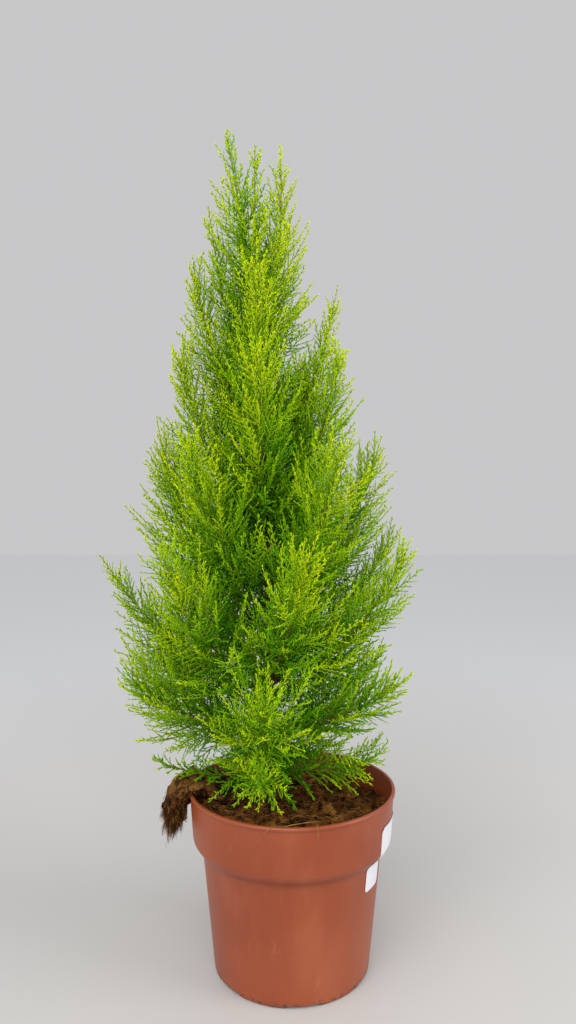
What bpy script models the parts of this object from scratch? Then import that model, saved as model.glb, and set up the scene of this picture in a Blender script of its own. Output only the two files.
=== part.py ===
"""Potted lemon cypress: a plastic nursery pot full of coir compost, one leaning trunk, its boughs
and plumes of feathery foliage. Metres, +Z up. The origin is the middle of the pot's flat underside,
and the plant is seen in the photograph from -Y."""

import math
import random
from collections import Counter

import bmesh
import bpy
from mathutils import Matrix, Vector
from mathutils.geometry import intersect_point_line

# What touches keeps this gap, because meshes hold 32-bit numbers. A limb's foot keeps a little more
# from the trunk, whose sides are flat between its rings.
GAP = 0.0003
TRUNK_GAP = 0.00038

# Pot: a round thermoformed nursery pot with a tall collar, 21 cm across.
POT_HEIGHT = 0.185
RIM_RADIUS = 0.105
COLLAR_TOP_RADIUS = 0.1035
COLLAR_FOOT_RADIUS = 0.1005
COLLAR_FOOT_HEIGHT = 0.137
BODY_TOP_RADIUS = 0.0905
BODY_TOP_HEIGHT = 0.120
FOOT_RADIUS = 0.079
POT_WALL = 0.0022
POT_FLOOR = 0.0045
LIP_HEIGHT = 0.004
# The step out to the collar swells to this share of its depth at this share of its height.
STEP_SWELL = 0.72
STEP_RISE = 0.4
POT_SIDES = 32
DRAIN_COUNT = 4
DRAIN_RADIUS = 0.0045
DRAIN_SIDES = 6
DRAIN_CIRCLE = 0.052

# Compost: fills the pot to just under its rim, with a lumpy top in rings round the trunk's foot.
SOIL_TOP = 0.172
SOIL_LUMP = 0.004
SOIL_SIDES = 24
SOIL_RINGS = (1.0, 0.74, 0.44, 0.14)
# Lumps are waves across the pot, coarse and fine, in radians per metre along X and Y. They start
# this far from the trunk's foot and reach full height this much further out.
COARSE_WAVES = (61, 53)
FINE_WAVES = (71, 97)
WAVE_SHIFTS = (1.3, -0.4)
LUMP_MIX = 0.6
LEVEL_RADIUS = 0.014
LEVEL_RUN = 0.02

# Coir tuft: a mat of fibre that rests on the rim at the left and hangs over it.
# Each station: distance from the pot's axis, height, half width along the rim, half thickness.
TUFT_AZIMUTH = 184
TUFT_STATIONS = (
    (0.0740, 0.1815, 0.022, 0.0050),
    (0.0880, 0.1905, 0.026, 0.0060),
    (0.1000, POT_HEIGHT + GAP + 0.0070, 0.026, 0.0066),
    (0.1130, 0.1900, 0.024, 0.0080),
    (0.1180, 0.1720, 0.019, 0.0095),
    (0.1205, 0.1540, 0.011, 0.0070),
    (0.1225, 0.1390, 0.004, 0.0025),
)
TUFT_SIDES = 8

# Trunk: from its cut at the compost to its tip. Each station: x, y, height, radius.
TRUNK_STATIONS = (
    (-0.0320, 0.0000, 0.1770, 0.0095),
    (-0.0312, 0.0000, 0.1830, 0.0068),
    (-0.0292, 0.0006, 0.2050, 0.0056),
    (-0.0262, 0.0015, 0.2500, 0.0050),
    (-0.0240, 0.0010, 0.3400, 0.0043),
    (-0.0230, -0.0005, 0.4300, 0.0036),
    (-0.0250, -0.0015, 0.5200, 0.0029),
    (-0.0300, -0.0005, 0.6000, 0.0022),
    (-0.0365, 0.0005, 0.6600, 0.0016),
    (-0.0425, 0.0010, 0.7150, 0.0011),
)
TRUNK_SIDES = 12

# Crown: how far the tips reach from the trunk's axis at each height.
CROWN_OUTLINE = (
    (0.200, 0.100),
    (0.240, 0.124),
    (0.300, 0.138),
    (0.430, 0.142),
    (0.520, 0.116),
    (0.600, 0.084),
    (0.700, 0.056),
    (0.790, 0.028),
    (0.832, 0.000),
)
LEADER_TIP = (-0.0640, 0.0020, 0.832)
LEADER_SPRAYS = 5
LEADER_SPRAY_SHARE = 0.22
LEADER_CROWDING = 0.002
LEADER_SAG = 0.06
# Shoots that race the leader: height where each leaves the trunk, and its tip.
SIDE_LEADERS = (
    (0.650, (-0.0360, -0.0110, 0.820)),
    (0.615, (-0.0110, 0.0060, 0.819)),
    (0.600, (-0.0520, 0.0290, 0.791)),
    (0.575, (-0.0820, -0.0050, 0.764)),
)

# Tiers of plumes from the compost up: plumes in the tier, azimuth of the first one, height where
# they leave the trunk, height of their tips, share of the run that is bare bough, sprays on each
# plume, length of the longest spray as a share of the run, and how thick the crowded middle of
# the stem is. A bare share of 0 grows the plume straight from the trunk.
TIERS = {
    "skirt": (5, 54, 0.192, 0.221, 0.0, 6, 0.66, 0.005),
    "low": (6, 30, 0.230, 0.300, 0.20, 7, 0.68, 0.007),
    "middle": (7, 180, 0.266, 0.420, 0.18, 8, 0.64, 0.008),
    "upper": (5, 18, 0.335, 0.518, 0.16, 7, 0.62, 0.007),
    "shoulder": (5, 54, 0.420, 0.608, 0.0, 7, 0.48, 0.005),
    "neck": (4, 8, 0.508, 0.692, 0.0, 6, 0.38, 0.003),
}
# Plumes that stray past the outline, each with its share of the usual reach: the long one at the
# left and a shoot at the right of the neck.
STRAYS = {"middle_1": 1.20, "neck_1": 1.5}

# Boughs and plume stems.
BOUGH_SIDES = 5
BOUGH_STEPS = 3
BOUGH_THICKNESS = 0.62
BOUGH_END = 1.15
STEM_SIDES = 3
STEM_STEPS = 5
STEM_RADIUS = 0.0013
STEM_TAPER = 0.45
STEM_END = 0.86
STEM_CROWDING = ((0.0, 0.0), (0.2, 0.75), (0.4, 1.0), (0.7, 0.7), (1.0, 0.0))
# The limbs of a tier leave the trunk at heights spread over the stagger, in an order that keeps
# neighbours apart, and their tips rise by a share of it.
STAGGER = 0.030
STAGGER_ORDER = 3
TIP_STAGGER = 0.4
# Each limb's line sags and bows outwards by these shares of its length.
AXIS_SAG = 0.14
AXIS_BOW = 0.06
AXIS_STEPS = 12

# Sprays: toothed blades with a thick rib, set round the stem by the golden angle. Angles are in
# degrees, first and last are shares of the stem's run, and widths are shares of the spray's length.
SPRAY_ANGLE = 46
SPRAY_ANGLE_LAST = 24
SPRAY_SWAY = 5
SPRAY_LENGTHS = (0.9, 1.08)
SPRAY_TURN = 137.5
SPRAY_TRIES = 5
TRY_TURN = 32
SPRAY_FIRST = 0.10
SPRAY_LAST = 0.84
SPRAY_TAPER = 0.48
SPRAY_WIDTH = 0.34
SPRAY_RIB = 0.07
SPRAY_THICKNESS = 0.026
SPRAY_TWIST = 12
SPRAY_TILT = 0.2
RIB_TAPER = 0.5
RIB_LAST = 0.9
TOOTH_PAIRS = 2
TOOTH_SWEEP = 0.20
TOOTH_TAPER = 0.35
# How deep the last spray starts inside the stem, and the share of it for the others.
SINK = 0.0016
SINK_SHARE = 0.2
# Space: the room a plume leaves to its neighbours and limbs, how far past the outline it may go,
# where the outline gives way to the leaders, and the room sprays leave to each other past their
# crowded roots, over the rim and the tuft, and over the compost.
SPACE_MARGIN = 0.0012
OUTLINE_MARGIN = 1.08
LEADERS_START = 0.72
SPRAY_ROOM = 0.0035
ROOT_ROOM = 0.012
TUFT_ROOM = 0.016
TUFT_SIDE = -0.055
SOIL_ROOM = 0.012
# A spray that doesn't fit is shortened by this share until it is shorter than the shortest.
SHORTEN = 0.85
SHORTEST_SPRAY = 0.016
FEWEST_SPRAYS = 2
# Each plume grows from random numbers of its own.
SEED = 1


def clear_scene():
    for item in list(bpy.data.objects):
        bpy.data.objects.remove(item)


def finish_mesh(name, build, material=None):
    """One named object from a bmesh, with its faces pointing out."""
    bmesh.ops.recalc_face_normals(build, faces=build.faces)
    mesh = bpy.data.meshes.new(name)
    build.to_mesh(mesh)
    build.free()
    made = bpy.data.objects.new(name, mesh)
    bpy.context.scene.collection.objects.link(made)
    if material:
        mesh.materials.append(material)
    return made


def principled(name, colour, roughness):
    material = bpy.data.materials.new(name)
    material.use_nodes = True
    shader = material.node_tree.nodes["Principled BSDF"]
    shader.inputs["Base Color"].default_value = (*colour, 1.0)
    shader.inputs["Roughness"].default_value = roughness
    shader.inputs["Metallic"].default_value = 0.0
    return material


def ring(build, centre, across, up, half_width, half_height, sides, turn=0.0):
    """A closed ring of vertices round a centre, on an ellipse in the plane of two directions."""
    made = []
    for step in range(sides):
        angle = math.tau * step / sides + turn
        offset = across * (half_width * math.cos(angle)) + up * (half_height * math.sin(angle))
        made.append(build.verts.new(centre + offset))
    return made


def bridge(build, first, second):
    for step in range(len(first)):
        after = (step + 1) % len(first)
        build.faces.new((first[step], first[after], second[after], second[step]))


def axes_across(direction):
    """Two directions at right angles to a third, turned the same way for neighbouring limbs."""
    across = direction.cross(Vector((0, 0, 1)))
    if across.length < 1e-4:
        across = Vector((1, 0, 0))
    across.normalize()
    return across, across.cross(direction).normalized()


def tube(centres, radii, sides, foot=None):
    """A tapering limb through the centres, with flat ends square to it, or with its first end cut
    flat to face a given way."""
    build = bmesh.new()
    rings = []
    for step, centre in enumerate(centres):
        before = centres[max(step - 1, 0)]
        after = centres[min(step + 1, len(centres) - 1)]
        across, up = axes_across((after - before).normalized())
        rings.append(ring(build, centre, across, up, radii[step], radii[step], sides))
    if foot:
        along = (centres[1] - centres[0]).normalized()
        for vert in rings[0]:
            vert.co += along * ((centres[0] - vert.co).dot(foot) / along.dot(foot))
    for first, second in zip(rings, rings[1:]):
        bridge(build, first, second)
    build.faces.new(rings[0])
    build.faces.new(rings[-1])
    return build


def turned(profile, sides):
    """A solid of revolution about Z from a closed profile of (radius, height) points."""
    build = bmesh.new()
    columns = []
    for radius, height in profile:
        if radius == 0:
            columns.append([build.verts.new((0, 0, height))] * sides)
            continue
        centre = Vector((0, 0, height))
        columns.append(ring(build, centre, Vector((1, 0, 0)), Vector((0, 1, 0)), radius, radius, sides))
    for first, second in zip(columns, columns[1:]):
        for step in range(sides):
            after = (step + 1) % sides
            corners = [first[step], first[after], second[after], second[step]]
            corners = list(dict.fromkeys(corners))
            build.faces.new(corners)
    return build


def inner_radius(height):
    """The pot's inner wall at a height."""
    profile = (
        (POT_FLOOR, FOOT_RADIUS),
        (BODY_TOP_HEIGHT, BODY_TOP_RADIUS),
        (COLLAR_FOOT_HEIGHT, COLLAR_FOOT_RADIUS),
        (POT_HEIGHT, COLLAR_TOP_RADIUS),
    )
    return interpolate(profile, height) - POT_WALL


def interpolate(table, key):
    """Straight-line value between the table's (key, value) points."""
    for (low, first), (high, second) in zip(table, table[1:]):
        if key <= high:
            share = (key - low) / (high - low)
            return first + (second - first) * max(share, 0.0)
    return table[-1][1]


def cut_with(target, cutter):
    """Takes the cutter out of the target with a Boolean that is applied."""
    modifier = target.modifiers.new("cut", "BOOLEAN")
    modifier.operation = "DIFFERENCE"
    modifier.object = cutter
    apply_modifiers(target)
    bpy.data.objects.remove(cutter)


def apply_modifiers(target):
    bpy.context.view_layer.update()
    evaluated = target.evaluated_get(bpy.context.evaluated_depsgraph_get())
    mesh = bpy.data.meshes.new_from_object(evaluated)
    target.modifiers.clear()
    target.data = mesh


def make_pot(material):
    """The cup, with a thick lip and drain holes in its floor."""
    swell_radius = BODY_TOP_RADIUS + STEP_SWELL * (COLLAR_FOOT_RADIUS - BODY_TOP_RADIUS)
    swell_height = BODY_TOP_HEIGHT + STEP_RISE * (COLLAR_FOOT_HEIGHT - BODY_TOP_HEIGHT)
    profile = [
        (0, 0),
        (FOOT_RADIUS - 0.002, 0),
        (FOOT_RADIUS, 0.002),
        (BODY_TOP_RADIUS, BODY_TOP_HEIGHT),
        (swell_radius, swell_height),
        (COLLAR_FOOT_RADIUS, COLLAR_FOOT_HEIGHT),
        (COLLAR_TOP_RADIUS, POT_HEIGHT - LIP_HEIGHT),
        (RIM_RADIUS, POT_HEIGHT - 0.5 * LIP_HEIGHT),
        (RIM_RADIUS - 0.001, POT_HEIGHT),
        (inner_radius(POT_HEIGHT), POT_HEIGHT),
        (inner_radius(COLLAR_FOOT_HEIGHT), COLLAR_FOOT_HEIGHT),
        (inner_radius(BODY_TOP_HEIGHT), BODY_TOP_HEIGHT),
        (inner_radius(POT_FLOOR), POT_FLOOR),
        (0, POT_FLOOR),
    ]
    pot = finish_mesh("pot", turned(profile, POT_SIDES), material)
    holes = bmesh.new()
    for count in range(DRAIN_COUNT):
        turn = Matrix.Rotation(math.tau * (count + 0.25) / DRAIN_COUNT, 4, "Z")
        bmesh.ops.create_cone(
            holes, cap_ends=True, segments=DRAIN_SIDES, radius1=DRAIN_RADIUS, radius2=DRAIN_RADIUS,
            depth=POT_FLOOR * 3, matrix=turn @ Matrix.Translation((DRAIN_CIRCLE, 0, POT_FLOOR / 2)),
        )
    cut_with(pot, finish_mesh("drain_holes", holes))
    pot.data.shade_smooth()
    pot.data.set_sharp_from_angle(angle=math.radians(35))
    return pot


def soil_height(x, y):
    """The compost's top: low lumps, level under the trunk."""
    coarse = math.sin(COARSE_WAVES[0] * x + WAVE_SHIFTS[0]) * math.cos(COARSE_WAVES[1] * y + WAVE_SHIFTS[1])
    fine = math.sin(FINE_WAVES[0] * x + FINE_WAVES[1] * y)
    from_trunk = math.hypot(x - TRUNK_STATIONS[0][0], y - TRUNK_STATIONS[0][1])
    level = min(max((from_trunk - LEVEL_RADIUS) / LEVEL_RUN, 0.0), 1.0)
    mound = TRUNK_STATIONS[0][2] - GAP - SOIL_TOP
    return SOIL_TOP + SOIL_LUMP * LUMP_MIX * (coarse + LUMP_MIX * fine) * level + mound * (1 - level)


def make_soil(material):
    """The root ball of compost, clear of the pot's wall, with the trunk's foot level on it."""
    build = bmesh.new()
    flat = Vector((1, 0, 0)), Vector((0, 1, 0))
    low = POT_FLOOR + GAP
    heights = (low, BODY_TOP_HEIGHT, COLLAR_FOOT_HEIGHT)
    sides = [
        ring(build, Vector((0, 0, z)), *flat, inner_radius(z) - 2 * GAP, inner_radius(z) - 2 * GAP, SOIL_SIDES)
        for z in heights
    ]
    build.faces.new(sides[0])
    foot = Vector(TRUNK_STATIONS[0][:2])
    last = inner_radius(SOIL_TOP) - 4 * GAP
    tops = []
    for share in SOIL_RINGS:
        verts = []
        for side in range(SOIL_SIDES):
            angle = math.tau * side / SOIL_SIDES
            spot = foot * (1 - share) + Vector((math.cos(angle), math.sin(angle))) * last * share
            verts.append(build.verts.new((*spot, soil_height(*spot))))
        tops.append(verts)
    for first, second in zip(sides + tops, sides[1:] + tops):
        bridge(build, first, second)
    build.faces.new(tops[-1])
    return finish_mesh("compost", build, material)


def make_tuft(material):
    """The mat of coir over the rim, bent round it by working in polar coordinates."""
    build = bmesh.new()
    rings = []
    for step, (radius, height, half_width, half_thickness) in enumerate(TUFT_STATIONS):
        before = TUFT_STATIONS[max(step - 1, 0)]
        after = TUFT_STATIONS[min(step + 1, len(TUFT_STATIONS) - 1)]
        along = Vector((after[0] - before[0], after[1] - before[1])).normalized()
        verts = []
        for side in range(TUFT_SIDES):
            angle = math.tau * side / TUFT_SIDES
            thick = half_thickness * math.sin(angle)
            spot = Vector((radius, height)) + Vector((-along.y, along.x)) * thick
            azimuth = math.radians(TUFT_AZIMUTH) + half_width * math.cos(angle) / radius
            verts.append(
                build.verts.new((spot.x * math.cos(azimuth), spot.x * math.sin(azimuth), spot.y))
            )
        rings.append(verts)
    for first, second in zip(rings, rings[1:]):
        bridge(build, first, second)
    build.faces.new(rings[0])
    build.faces.new(rings[-1])
    return finish_mesh("coir_tuft", build, material)


def trunk_at(height):
    """The trunk's centre and radius at a height."""
    table = [(z, Vector((x, y, z, radius))) for x, y, z, radius in TRUNK_STATIONS]
    found = interpolate(table, height)
    return Vector((found.x, found.y, height)), found.w


def make_trunk(material):
    centres = [Vector(station[:3]) for station in TRUNK_STATIONS]
    radii = [station[3] for station in TRUNK_STATIONS]
    build = tube(centres, radii, TRUNK_SIDES)
    # The lowest ring is level, because the trunk is cut flat where it meets the compost.
    for vert in build.verts[:TRUNK_SIDES]:
        vert.co.z = TRUNK_STATIONS[0][2]
    return finish_mesh("trunk", build, material)


def bend(start, end, sag, bow, steps):
    """Points on a curve that leaves low, bows outwards and rises towards its end, as these boughs
    do."""
    control = start.lerp(end, 0.5) + bow * (end - start).length
    control.z -= sag * (end - start).length
    points = []
    for step in range(steps + 1):
        t = step / steps
        points.append((1 - t) ** 2 * start + 2 * t * (1 - t) * control + t**2 * end)
    return points


def point_on(points, share):
    """The point and direction at a share of the way along a polyline."""
    at = share * (len(points) - 1)
    step = min(int(at), len(points) - 2)
    direction = (points[step + 1] - points[step]).normalized()
    return points[step].lerp(points[step + 1], at - step), direction


def gap_to_line(point, line):
    """Distance from a point to a polyline."""
    best = math.inf
    for first, second in zip(line, line[1:]):
        near, share = intersect_point_line(point, first, second)
        if share < 0:
            near = first
        elif share > 1:
            near = second
        best = min(best, (point - near).length)
    return best


def plan_plume(name, leave, tip, bare, growth):
    """One plume that leaves the trunk at a height and ends at its tip, with the bough that bears
    it where a share of its run is bare."""
    centre, radius = trunk_at(leave)
    outwards = Vector((tip.x - centre.x, tip.y - centre.y, 0)).normalized()
    limb_radius = BOUGH_THICKNESS * radius if bare else STEM_RADIUS
    start = centre + outwards * (radius + TRUNK_GAP)
    axis = bend(start, tip, AXIS_SAG, outwards * AXIS_BOW, AXIS_STEPS)
    cut = round(bare * AXIS_STEPS)
    return {
        "name": name,
        "stray": STRAYS.get(name, 1.0),
        "foot": outwards,
        "bough": axis[: cut + 1] if bare else None,
        "bough_radius": limb_radius,
        "axis": axis[cut:],
        "sprays": growth[0],
        "spray_share": growth[1],
        "crowding": growth[2],
    }


def plan_plumes():
    """Every plume, worked out before any is built, so that each can keep to its own space."""
    plumes = []
    for tier, (count, first, leave, tip_height, bare, *growth) in TIERS.items():
        for index in range(count):
            name = f"{tier}_{index + 1}"
            azimuth = math.radians(first + 360 * index / count)
            step_up = STAGGER * ((index * STAGGER_ORDER) % count) / count
            height = tip_height + TIP_STAGGER * step_up
            reach = interpolate(CROWN_OUTLINE, height) * STRAYS.get(name, 1.0)
            centre, _ = trunk_at(height)
            tip = centre + Vector((math.cos(azimuth), math.sin(azimuth), 0)) * reach
            plumes.append(plan_plume(name, leave + step_up, tip, bare, growth))
    leader_growth = (LEADER_SPRAYS, LEADER_SPRAY_SHARE, LEADER_CROWDING)
    for index, (leave, tip) in enumerate(SIDE_LEADERS):
        name = f"side_leader_{index + 1}"
        plumes.append(plan_plume(name, leave, Vector(tip), 0.0, leader_growth))
    top = Vector(TRUNK_STATIONS[-1][:3])
    lean = (top - Vector(TRUNK_STATIONS[-2][:3])).normalized()
    leader = plan_plume("leader", top.z, Vector(LEADER_TIP), 0.0, leader_growth)
    leader["axis"] = bend(top + lean * GAP, Vector(LEADER_TIP), LEADER_SAG, Vector(), AXIS_STEPS)
    leader["foot"] = lean
    return plumes + [leader]


def make_bough(plume, material):
    """One tapering limb from the trunk to where it enters its plume."""
    points = [point_on(plume["bough"], step / BOUGH_STEPS)[0] for step in range(BOUGH_STEPS + 1)]
    points[-1] += (points[-2] - points[-1]).normalized() * GAP
    slim = STEM_RADIUS * BOUGH_END
    radii = [plume["bough_radius"] + (slim - plume["bough_radius"]) * step / BOUGH_STEPS
             for step in range(BOUGH_STEPS + 1)]
    limb = tube(points, radii, BOUGH_SIDES, plume["foot"])
    return finish_mesh("bough_" + plume["name"], limb, material)


def spray_points(root, direction, side, length):
    """The stations and tooth tips of a toothed blade. Each station is the top, right and left of
    its rib, and each pair of teeth sweeps forwards from between two stations. The blade twists so
    little from one station to the next that its flat underside stays below its top edge."""
    stations, teeth = [], []
    for step in range(TOOTH_PAIRS + 1):
        share = step / (TOOTH_PAIRS + RIB_LAST)
        right = Matrix.Rotation(math.radians(SPRAY_TWIST) * step, 3, direction) @ side
        top = right.cross(direction)
        thin = 1 - RIB_TAPER * share
        half_width = right * (SPRAY_RIB * length * thin)
        centre = root + direction * (length * share)
        stations.append(
            [centre + top * (SPRAY_THICKNESS * length * thin), centre + half_width, centre - half_width]
        )
        if step < TOOTH_PAIRS:
            reach = SPRAY_WIDTH * length * (1 - TOOTH_TAPER * share)
            ahead = centre + direction * (length * (TOOTH_SWEEP + 0.5 / (TOOTH_PAIRS + 1)))
            teeth.append([ahead + right * reach, ahead - right * reach])
    return stations, teeth, root + direction * length


def make_spray(stations, teeth, tip):
    """A closed toothed blade: a three-sided rib that narrows to its tip, with a sharp-edged tooth
    out of each side between stations."""
    build = bmesh.new()
    rib = [[build.verts.new(point) for point in station] for station in stations]
    for step, pair in enumerate(teeth):
        top, right, left = rib[step]
        next_top, next_right, next_left = rib[step + 1]
        for start, end, point in ((right, next_right, pair[0]), (left, next_left, pair[1])):
            point = build.verts.new(point)
            build.faces.new((top, start, point))
            build.faces.new((top, point, next_top))
            build.faces.new((point, end, next_top))
            build.faces.new((start, end, point))
        build.faces.new((right, next_right, left))
        build.faces.new((next_right, next_left, left))
    end = build.verts.new(tip)
    for step in range(3):
        build.faces.new((rib[-1][step], rib[-1][(step + 1) % 3], end))
    build.faces.new(rib[0])
    return finish_mesh("spray", build)


def inside_outline(point, stray):
    """True if a point is no further out than the crown reaches at its height, nor above its top."""
    if point.z > LEADER_TIP[2]:
        return False
    if point.z > LEADERS_START:
        return True
    centre, _ = trunk_at(point.z)
    reach = math.hypot(point.x - centre.x, point.y - centre.y)
    return reach < interpolate(CROWN_OUTLINE, point.z) * stray * OUTLINE_MARGIN


def keeps_clear(points, plume, others, limbs):
    """True if every point is inside the crown, nearer to its own plume's axis than to any other's,
    and clear of the trunk, the boughs, the compost and the pot."""
    for point in points:
        if not inside_outline(point, plume["stray"]):
            return False
        mine = gap_to_line(point, plume["axis"])
        if any(gap_to_line(point, other) < mine + 2 * SPACE_MARGIN for other in others):
            return False
        if any(gap_to_line(point, line) < thick + SPACE_MARGIN for line, thick in limbs):
            return False
        over_pot = math.hypot(point.x, point.y) < RIM_RADIUS + TUFT_ROOM
        floor = POT_HEIGHT + TUFT_ROOM if point.x < TUFT_SIDE else SOIL_TOP + SOIL_ROOM
        if over_pot and point.z < floor:
            return False
    return True


def samples_of(stations, teeth, tip):
    """Points to test on a spray: its ends, its tooth tips and points between."""
    rib = [sum(station, Vector()) / 3 for station in stations]
    points = rib + [tip] + [(rib[-1] + tip) / 2]
    for step, pair in enumerate(teeth):
        points += pair
        points += [(rib[step] + point) / 2 for point in pair]
    return points[1:]


def clear_of_sprays(points, root, found):
    """True if none of the points, past the crowded root, comes near a spray that is there."""
    outer = [point for point in points if (point - root).length > ROOT_ROOM]
    return all((point - there).length > SPRAY_ROOM for point in outer for spray in found for there in spray)


def plan_sprays(plume, others, limbs, chance):
    """The sprays that fit in a plume's space: along the axis by the golden angle, long at the
    foot and short at the tip, and one that ends the stem."""
    axis = plume["axis"]
    run = sum((second - first).length for first, second in zip(axis, axis[1:]))
    turn = chance.uniform(0, 360)
    found, taken = [], []
    for count in range(plume["sprays"]):
        share = SPRAY_FIRST + (SPRAY_LAST - SPRAY_FIRST) * count / (plume["sprays"] - 1)
        root, ahead = point_on(axis, share)
        across, up = axes_across(ahead)
        for attempt in range(SPRAY_TRIES):
            around = math.radians(turn + SPRAY_TURN * count + TRY_TURN * attempt)
            outwards = across * math.cos(around) + up * math.sin(around)
            lean = SPRAY_ANGLE + (SPRAY_ANGLE_LAST - SPRAY_ANGLE) * share
            lean = math.radians(lean + chance.uniform(-SPRAY_SWAY, SPRAY_SWAY))
            direction = (ahead * math.cos(lean) + outwards * math.sin(lean)).normalized()
            side = direction.cross(outwards.lerp(ahead, SPRAY_TILT)).normalized()
            length = run * plume["spray_share"] * (1 - SPRAY_TAPER * share) * chance.uniform(*SPRAY_LENGTHS)
            spray = None
            while length > SHORTEST_SPRAY:
                spray = spray_points(root - direction * SINK * SINK_SHARE, direction, side, length)
                points = samples_of(*spray)
                if clear_of_sprays(points, root, taken) and keeps_clear(points, plume, others, limbs):
                    break
                spray = None
                length *= SHORTEN
            if spray:
                found.append(spray)
                taken.append(points)
                break
    root, ahead = point_on(axis, STEM_END)
    root -= ahead * SINK
    direction = (axis[-1] - root).normalized()
    twist = Matrix.Rotation(chance.uniform(0, math.tau), 3, direction)
    side = twist @ axes_across(direction)[0]
    found.append(spray_points(root, direction, side, (axis[-1] - root).length))
    return found


def make_stem(plume, material):
    """The plume's stem, which starts clear of its bough or the trunk, is thick where its foliage
    crowds together, and ends inside the last spray."""
    centres, radii = [], []
    for step in range(STEM_STEPS + 1):
        share = step / STEM_STEPS
        centres.append(point_on(plume["axis"], STEM_END * share)[0])
        crowding = plume["crowding"] * interpolate(STEM_CROWDING, share)
        radii.append(STEM_RADIUS * (1 - STEM_TAPER * share) + crowding)
    foot = None if plume["bough"] else plume["foot"]
    return finish_mesh("plume_" + plume["name"], tube(centres, radii, STEM_SIDES, foot), material)


def fuse(target, pieces):
    """Joins the pieces to the target with one Boolean union on a collection, then removes them."""
    group = bpy.data.collections.new(target.name + "_pieces")
    for piece in pieces:
        group.objects.link(piece)
    modifier = target.modifiers.new("fuse", "BOOLEAN")
    modifier.operation = "UNION"
    modifier.operand_type = "COLLECTION"
    modifier.collection = group
    modifier.solver = "MANIFOLD"
    apply_modifiers(target)
    for piece in pieces:
        bpy.data.objects.remove(piece)
    bpy.data.collections.remove(group)


def shells_of(build):
    """The connected shells of a bmesh, each as a list of faces."""
    left = set(build.faces)
    found = []
    while left:
        queue = [left.pop()]
        shell = list(queue)
        while queue:
            face = queue.pop()
            for edge in face.edges:
                for near in edge.link_faces:
                    if near in left:
                        left.remove(near)
                        queue.append(near)
                        shell.append(near)
        found.append(shell)
    return found


def volume_of(faces):
    """Signed volume inside triangles: less than zero for a hollow's wall."""
    return sum(
        first.co.dot(second.co.cross(third.co))
        for first, second, third in ([*face.verts] for face in faces)
    )


def keep_outside(target):
    """Fills any hollow that the fusing sealed and drops loose scraps, so one closed body is left."""
    build = bmesh.new()
    build.from_mesh(target.data)
    bmesh.ops.triangulate(build, faces=build.faces)
    shells = sorted(shells_of(build), key=volume_of)
    scraps = [face for shell in shells[:-1] for face in shell]
    bmesh.ops.delete(build, geom=scraps, context="FACES")
    build.to_mesh(target.data)
    build.free()


def barely_touches(target):
    """True if two sheets of the mesh come so near that their points are one when rounded."""
    mesh = target.data
    spots = [tuple(round(value, 7) for value in vert.co) for vert in mesh.vertices]
    uses = Counter(
        frozenset((spots[first], spots[second]))
        for face in mesh.polygons
        for first, second in face.edge_keys
    )
    return any(count != 2 for edge, count in uses.items() if len(edge) == 2)


def make_plume(plume, plumes, limbs, material, chance):
    """Grows a plume, and grows it again with one spray fewer where two of them only just touch."""
    others = [other["axis"] for other in plumes if other is not plume]
    while True:
        stem = make_stem(plume, material)
        sprays = plan_sprays(plume, others, limbs, chance)
        fuse(stem, [make_spray(*spray) for spray in sprays])
        keep_outside(stem)
        if not barely_touches(stem) or plume["sprays"] == FEWEST_SPRAYS:
            return
        bpy.data.objects.remove(stem)
        plume["sprays"] -= 1


def main():
    clear_scene()
    terracotta = principled("terracotta_plastic", (0.52, 0.125, 0.045), 0.42)
    coir = principled("coir_compost", (0.085, 0.042, 0.018), 0.95)
    bark = principled("bark", (0.12, 0.045, 0.02), 0.85)
    foliage = principled("foliage", (0.30, 0.50, 0.015), 0.6)
    make_pot(terracotta)
    make_soil(coir)
    make_tuft(coir)
    make_trunk(bark)
    plumes = plan_plumes()
    limbs = [([Vector(a[:3]), Vector(b[:3])], a[3]) for a, b in zip(TRUNK_STATIONS, TRUNK_STATIONS[1:])]
    for plume in plumes:
        if plume["bough"]:
            make_bough(plume, bark)
            limbs.append((plume["bough"], plume["bough_radius"]))
    for plume in plumes:
        chance = random.Random(f"{plume['name']} {SEED}")
        make_plume(plume, plumes, limbs, foliage, chance)


main()
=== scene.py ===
"""The looks of a young lemon cypress in its nursery pot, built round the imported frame.
Metres, +Z up, with the photograph taken from -Y."""

import math

import bpy
import numpy as np
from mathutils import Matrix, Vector, noise


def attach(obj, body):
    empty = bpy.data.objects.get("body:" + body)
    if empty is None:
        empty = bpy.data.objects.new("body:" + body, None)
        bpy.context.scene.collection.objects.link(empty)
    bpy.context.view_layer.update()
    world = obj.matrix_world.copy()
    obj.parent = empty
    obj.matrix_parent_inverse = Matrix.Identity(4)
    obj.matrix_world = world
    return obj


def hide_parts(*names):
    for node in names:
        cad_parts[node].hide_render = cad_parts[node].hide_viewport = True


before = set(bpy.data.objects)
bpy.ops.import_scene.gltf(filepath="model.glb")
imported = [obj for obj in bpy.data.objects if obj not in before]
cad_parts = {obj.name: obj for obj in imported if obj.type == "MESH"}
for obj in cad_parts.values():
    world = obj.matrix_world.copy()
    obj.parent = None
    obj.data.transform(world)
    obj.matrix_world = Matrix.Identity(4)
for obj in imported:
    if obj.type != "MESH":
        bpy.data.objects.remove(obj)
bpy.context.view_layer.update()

# Room, light and camera. The plant stands on a pale floor in front of a pale grey room, in soft
# daylight from the front left with windows in front and at both sides, seen a little from above.
CAMERA_PLACE = (-0.0039, -0.828, 0.507)
CAMERA_PITCH = math.radians(87)
CAMERA_LENS = 29.0
CAMERA_SENSOR = 36
ROOM_GREY = (0.575, 0.575, 0.585)
FLOOR_WHITE = (0.495, 0.482, 0.468)
FLOOR_DULL = (0.46, 0.448, 0.436)
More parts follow.
